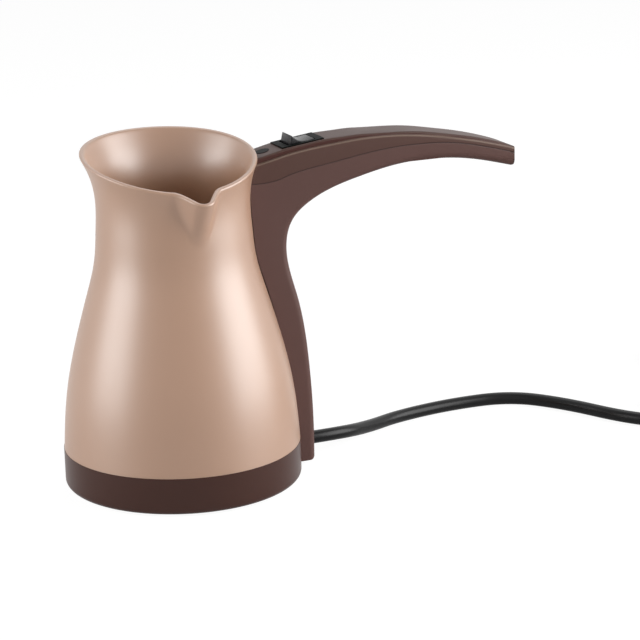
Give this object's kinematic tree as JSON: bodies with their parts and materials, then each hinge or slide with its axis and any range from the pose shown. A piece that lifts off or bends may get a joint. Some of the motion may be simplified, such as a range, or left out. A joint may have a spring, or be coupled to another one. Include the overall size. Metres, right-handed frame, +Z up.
{
  "type": "electric turkish coffee maker",
  "caption": "Electric Turkish coffee pot with a waisted moulded body, pouring spout, long side handle with a rocker switch and pilot light, dark base and mains cord.",
  "frame": {"origin": "centre of the base's foot ring, on the table", "axes": "+Z up, +X along the handle away from the pot, -Y out of the pouring spout"},
  "size_m": [0.3901, 0.1493, 0.1582],
  "materials": {
    "beige_plastic": "glossy moulded",
    "dark_brown_plastic": "glossy moulded",
    "grey_brown_plastic": "satin moulded",
    "black_plastic": "glossy moulded",
    "steel": "brushed",
    "zinc_steel": "zinc plated",
    "aluminium": "cast",
    "brass": "nickel free",
    "rubber": "matte",
    "silicone": "matte",
    "bakelite": "matte",
    "smoked_lens": "smoked",
    "lamp_glass": "clear",
    "brown_wire": "matte",
    "blue_wire": "matte",
    "earth_wire": "matte",
    "black_cord": "satin"
  },
  "bodies": {
    "pot": {"pot_body": "beige_plastic", "handle_lower_shell": "grey_brown_plastic", "handle_upper_shell": "grey_brown_plastic", "arm_screws": "zinc_steel", "column_screws": "zinc_steel", "base_cup": "dark_brown_plastic", "base_screws": "zinc_steel", "foot_ring": "rubber", "heating_plate": "steel", "plate_seal": "silicone", "clamp_ring": "steel", "clamp_nuts": "zinc_steel", "spreader_plate": "aluminium", "heating_element": "aluminium", "element_pins": "steel", "thermostat": "bakelite", "thermostat_bracket": "steel", "bracket_nuts": "zinc_steel", "thermal_fuse": "aluminium", "earth_tab": "brass", "switch_housing": "black_plastic", "switch_terminals": "brass", "spade_connectors": "brass", "indicator_lens": "smoked_lens", "neon_lamp": "lamp_glass", "lamp_sleeve": "silicone", "live_wire": "brown_wire", "switched_wire": "brown_wire", "neutral_wire": "blue_wire", "link_wire": "brown_wire", "earth_wire": "earth_wire", "cord_inner": "black_cord", "cord_grommet": "rubber", "cord_clamp": "dark_brown_plastic", "clamp_screws": "zinc_steel", "power_cord": "black_cord", "cord_coil": "black_cord", "coil_tie": "black_plastic", "cord_tail": "black_cord", "plug_body": "black_plastic", "plug_pins": "brass", "plug_earth_contacts": "steel"},
    "rocker": {"switch_rocker": "black_plastic", "switch_plunger": "steel", "plunger_spring": "steel"},
    "contact": {"contact_lever": "brass"}
  },
  "joints": [
    {"name": "rocker_tilt", "type": "hinge", "parent": "pot", "child": "rocker", "pos_m": [0.06169, 0, 0.15201], "axis": [0, -1, 0], "range_deg": [0, 24]},
    {"name": "contact_tilt", "type": "hinge", "parent": "pot", "child": "contact", "pos_m": [0.06257, 0, 0.14517], "axis": [0, -1, 0], "range_deg": [-16, 0]}
  ],
  "couplings": [
    {"joint": "contact_tilt", "follows": "rocker_tilt", "ratio": -0.66667}
  ]
}
